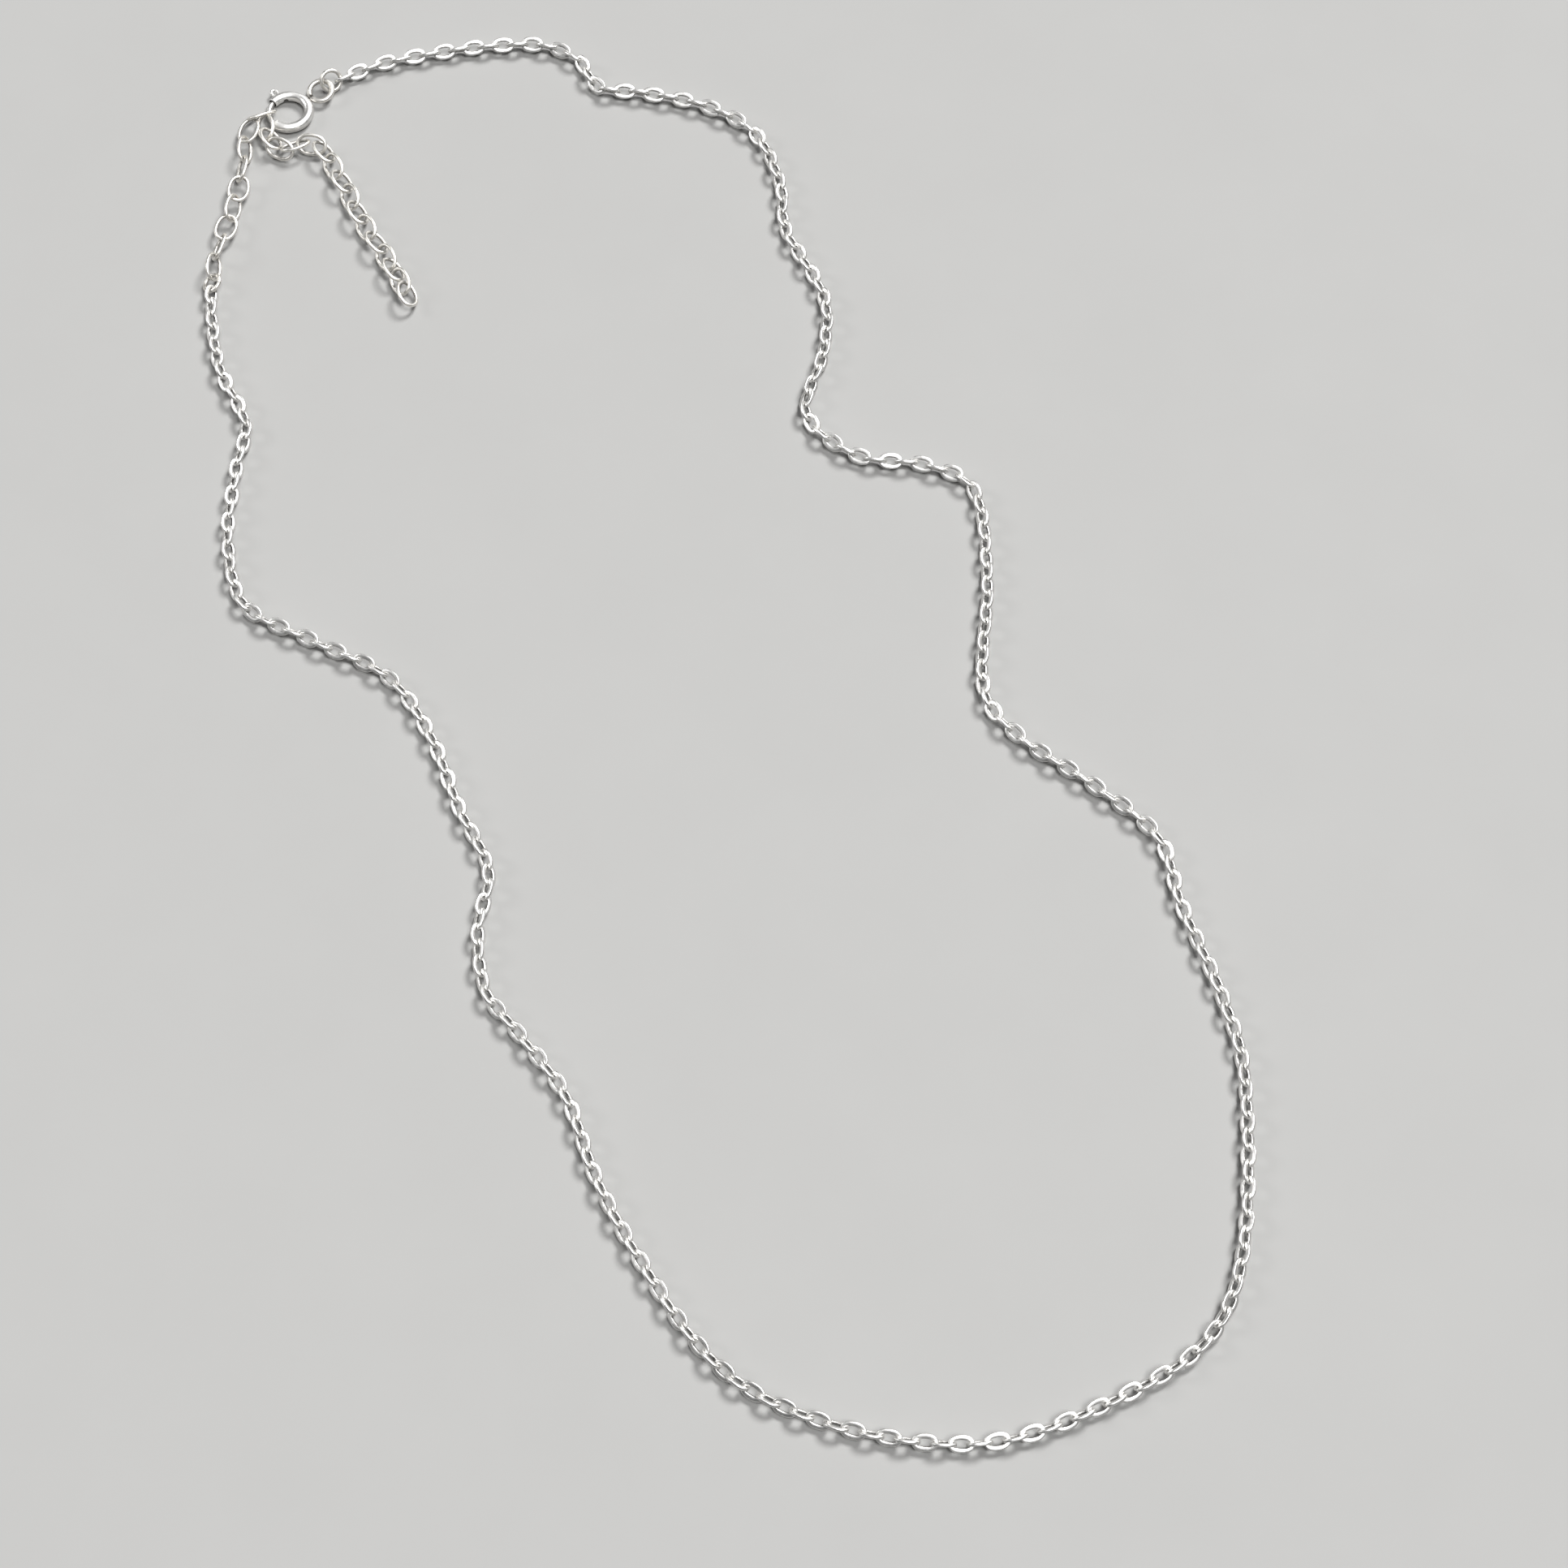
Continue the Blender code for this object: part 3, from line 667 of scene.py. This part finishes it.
def barrel():
    """The hollow tube, rolled from sheet: a C-shaped section, whose outer seam opens into the slot."""
    steps, half = 170, 44
    start, end = MOUTH_END - 360, MOUTH_START
    rings, values = [], []
    for k in range(steps + 1):
        degrees = start + (end - start) * k / steps
        edge = max(0.0, 1 - min(degrees - start, end - degrees) / MOUTH_LIP)  # 1 at the mouth's edges
        shrink = MOUTH_ROUND * edge**2
        opening = slot_half(degrees)
        middle_line = around(Vector(), CLASP_RADIUS, degrees)
        out = around(Vector(), 1, degrees)
        ring, value = [], []
        for inside, size in ((False, TUBE_OUTER / 2 - shrink), (True, TUBE_BORE / 2 + shrink * 0.4)):
            gap = math.asin(min(0.9, opening / size))
            for i in range(half):
                share = i / (half - 1)
                angle = gap + (2 * math.pi - 2 * gap) * (1 - share if inside else share)
                point = middle_line + size * (math.cos(angle) * out + math.sin(angle) * Vector((0, 0, 1)))
                if inside:
                    ring.append(point)
                    # painted shade: the bore's inside is fully dark
                    value.append(1.0)
                    continue
                deep = vent(degrees, angle, size)
                ring.append(point + (middle_line - point).normalized() * VENT_DEPTH * deep)
                seam = math.exp(-((math.sin(angle / 2) * size / (0.05 * MM)) ** 2))
                # painted shade in the vent hole; the line along the sheet's seam is a real dark joint, and
                # the mouth's edges are made a little darker
                value.append(min(1.0, deep * 2 + seam * 0.35 + 0.25 * edge))
        rings.append(ring)
        values.append(value)
    return skin("barrel_mesh", rings, values, closed=False)


def slot_half(degrees):
    """Half the slot's width at an angle round the tube, or half the closed seam's gap past the slot."""
    spread = math.degrees(TRIGGER_WIDTH / 2 / CLASP_RADIUS) + SLOT_PLAY
    start, end = TRIGGER_AT - BOLT_TRAVEL - spread, TRIGGER_AT + spread
    into = min(degrees - start, end - degrees) / SLOT_ROUND
    if into <= 0:
        return SEAM_GAP / 2
    return max(SEAM_GAP / 2, SLOT_WIDTH / 2 * math.sqrt(1 - max(0.0, 1 - into) ** 2))


def vent(degrees, angle, size):
    """How much of the vent hole's depth a point of the tube's skin has, from 0 to 1."""
    along = math.radians(degrees - VENT_AT) * (CLASP_RADIUS - TUBE_OUTER / 2)
    away = math.hypot(along, (angle - math.pi - math.radians(VENT_LOW)) * size)
    return 1 / (1 + (away / VENT_SIZE) ** 8)


def bolt():
    """The sprung bolt, a bent pin with rounded ends."""
    steps = 60
    start, end = BOLT_START, MOUTH_END + BOLT_SEAT
    line = [around(Vector(), CLASP_RADIUS, start + (end - start) * k / steps) for k in range(steps + 1)]
    at_mouth = (MOUTH_START - start) / (end - start)

    def taper(share):
        from_end = min(share, 1 - share) * (end - start) / TIP_ROUND
        return math.sqrt(max(0.05, 1 - max(0.0, 1 - from_end) ** 2))

    def shade(share, angle):
        # painted shade where the bolt goes into the mouth, and on the wire's inner side
        return 0.6 * max(0.0, 1 - abs(share - at_mouth) * 14) + 0.15 * inward(angle)

    return wire("bolt_mesh", line, BOLT_WIRE / 2, 20, False, shade, taper)


def trigger():
    """The loop of wire that the wearer draws back, standing on the bolt: two legs and a bow."""
    half = (TRIGGER_WIDTH - THUMB_WIRE) / 2
    foot = CLASP_RADIUS + BOLT_WIRE / 2 - 0.02 * MM
    top = CLASP_RADIUS + TUBE_OUTER / 2 + TRIGGER_HEIGHT - THUMB_WIRE / 2
    out, along = around(Vector(), 1, TRIGGER_AT), around(Vector(), 1, TRIGGER_AT + 90)
    leg = [out * (foot + (top - half - foot) * k / 6) for k in range(6)]
    apart = along * half * 0.86
    line = [point - apart for point in leg]
    for k in range(25):
        turn = math.radians(200 - 220 * k / 24)
        line.append(out * (top - half + half * math.sin(turn)) + along * half * math.cos(turn))
    line += [point + apart for point in reversed(leg)]

    def shade(share, angle):
        # painted shade at the loop's feet, where they meet the bolt in the slot
        return 0.8 * near_ends(share, 6)

    return wire("trigger_mesh", line, THUMB_WIRE / 2, 12, False, shade)


def spring():
    """The fine coil in the tube, seen through the slot."""
    per_turn = 14
    steps = COIL_TURNS * per_turn
    coil = TUBE_BORE / 2 - COIL_WIRE / 2 - 0.01 * MM
    start, end = BORE_END + 3, BOLT_START - 2
    line = []
    for k in range(steps + 1):
        turn = 2 * math.pi * k / per_turn
        spot = around(Vector(), CLASP_RADIUS + coil * math.cos(turn), start + (end - start) * k / steps)
        line.append(spot + Vector((0, 0, coil * math.sin(turn))))
    # painted shade, even along the whole coil inside the tube
    return wire("spring_mesh", line, COIL_WIRE / 2, 8, False, lambda share, angle: 0.3)


def eye():
    """The ring soldered to the tube, with painted shade darkest at its foot."""
    steps = 80
    radius = (EYE_OUTER - EYE_WIRE) / 2
    line = [around(Vector(), radius, 360 * k / steps) for k in range(steps)]

    def shade(share, angle):
        # painted shade on the ring's inner side and at its foot, where it meets the tube
        near_tube = math.exp(-(((share - 0.5) / 0.05) ** 2))
        return min(1.0, 0.3 * inward(angle) + 0.9 * near_tube)

    return wire("eye_mesh", line, EYE_WIRE / 2, 20, True, shade)


def solder():
    """The waisted fillet of solder between the tube and the eye."""
    steps, sides = 8, 20
    start = CLASP_RADIUS + TUBE_OUTER / 2 - 0.12 * MM
    end = CLASP_RADIUS + TUBE_OUTER / 2 + FIT + 0.16 * MM
    rings, values = [], []
    for k in range(steps + 1):
        arch = math.sin(math.pi * k / steps)
        waist = 1 - 0.35 * arch
        x = start + (end - start) * k / steps
        ring = []
        for i in range(sides):
            angle = 2 * math.pi * i / sides
            y = SOLDER_WIDTH / 2 * waist * math.cos(angle)
            z = SOLDER_HEIGHT / 2 * waist * math.sin(angle)
            ring.append(Vector((x, y, z)))
        rings.append(ring)
        # painted shade, darkest in the fillet's waist between the tube and the eye
        values.append([0.9 * arch] * sides)
    return skin("solder_mesh", rings, values, closed=False)


# ---------------------------------------------------------------- stage, lights and camera

def stage(aim):
    bpy.ops.mesh.primitive_plane_add(size=FLOOR_SIZE, location=(aim.x, aim.y, -FLOOR_DROP))
    floor = bpy.context.object
    floor.name = "studio_floor"
    n = Nodes("floor_paper")
    coords = n.add("ShaderNodeTexCoord").outputs["Object"]
    n.join(n.mix(n.noise(coords, 60, 4), FLOOR_DARK, FLOOR_LIGHT), n.shader.inputs["Base Color"])
    n.shader.inputs["Roughness"].default_value = 0.8
    floor.data.materials.append(n.material)


def lights(aim):
    world = bpy.data.worlds.new("studio")
    world.use_nodes = True
    world.node_tree.nodes["Background"].inputs["Color"].default_value = (*WORLD_COLOUR, 1)
    bpy.context.scene.world = world
    bpy.context.scene.view_settings.view_transform = "Standard"
    for name, place, width, strength in SUNS:
        light = bpy.data.lights.new(name, "SUN")
        light.angle = math.radians(width)
        light.energy = strength
        lamp = bpy.data.objects.new(name, light)
        lamp.location = aim + Vector(place)
        lamp.rotation_euler = (aim - lamp.location).to_track_quat("-Z", "Y").to_euler()
        bpy.context.scene.collection.objects.link(lamp)


def camera(aim):
    data = bpy.data.cameras.new("camera")
    data.lens = CAMERA_LENS
    data.sensor_width = 36
    data.clip_start = 0.01
    made = bpy.data.objects.new("camera", data)
    tilt = math.radians(CAMERA_ELEVATION)
    back = Vector((0, -math.cos(tilt), math.sin(tilt)))
    made.location = aim + Vector((0, 0, VIEW_HEIGHT)) + CAMERA_DISTANCE * back
    made.rotation_euler = (math.pi / 2 - tilt, 0, 0)
    bpy.context.scene.collection.objects.link(made)
    bpy.context.scene.camera = made


shift = build()
aim = Vector((shift.x, shift.y, 0))
stage(aim)
lights(aim)
camera(aim)
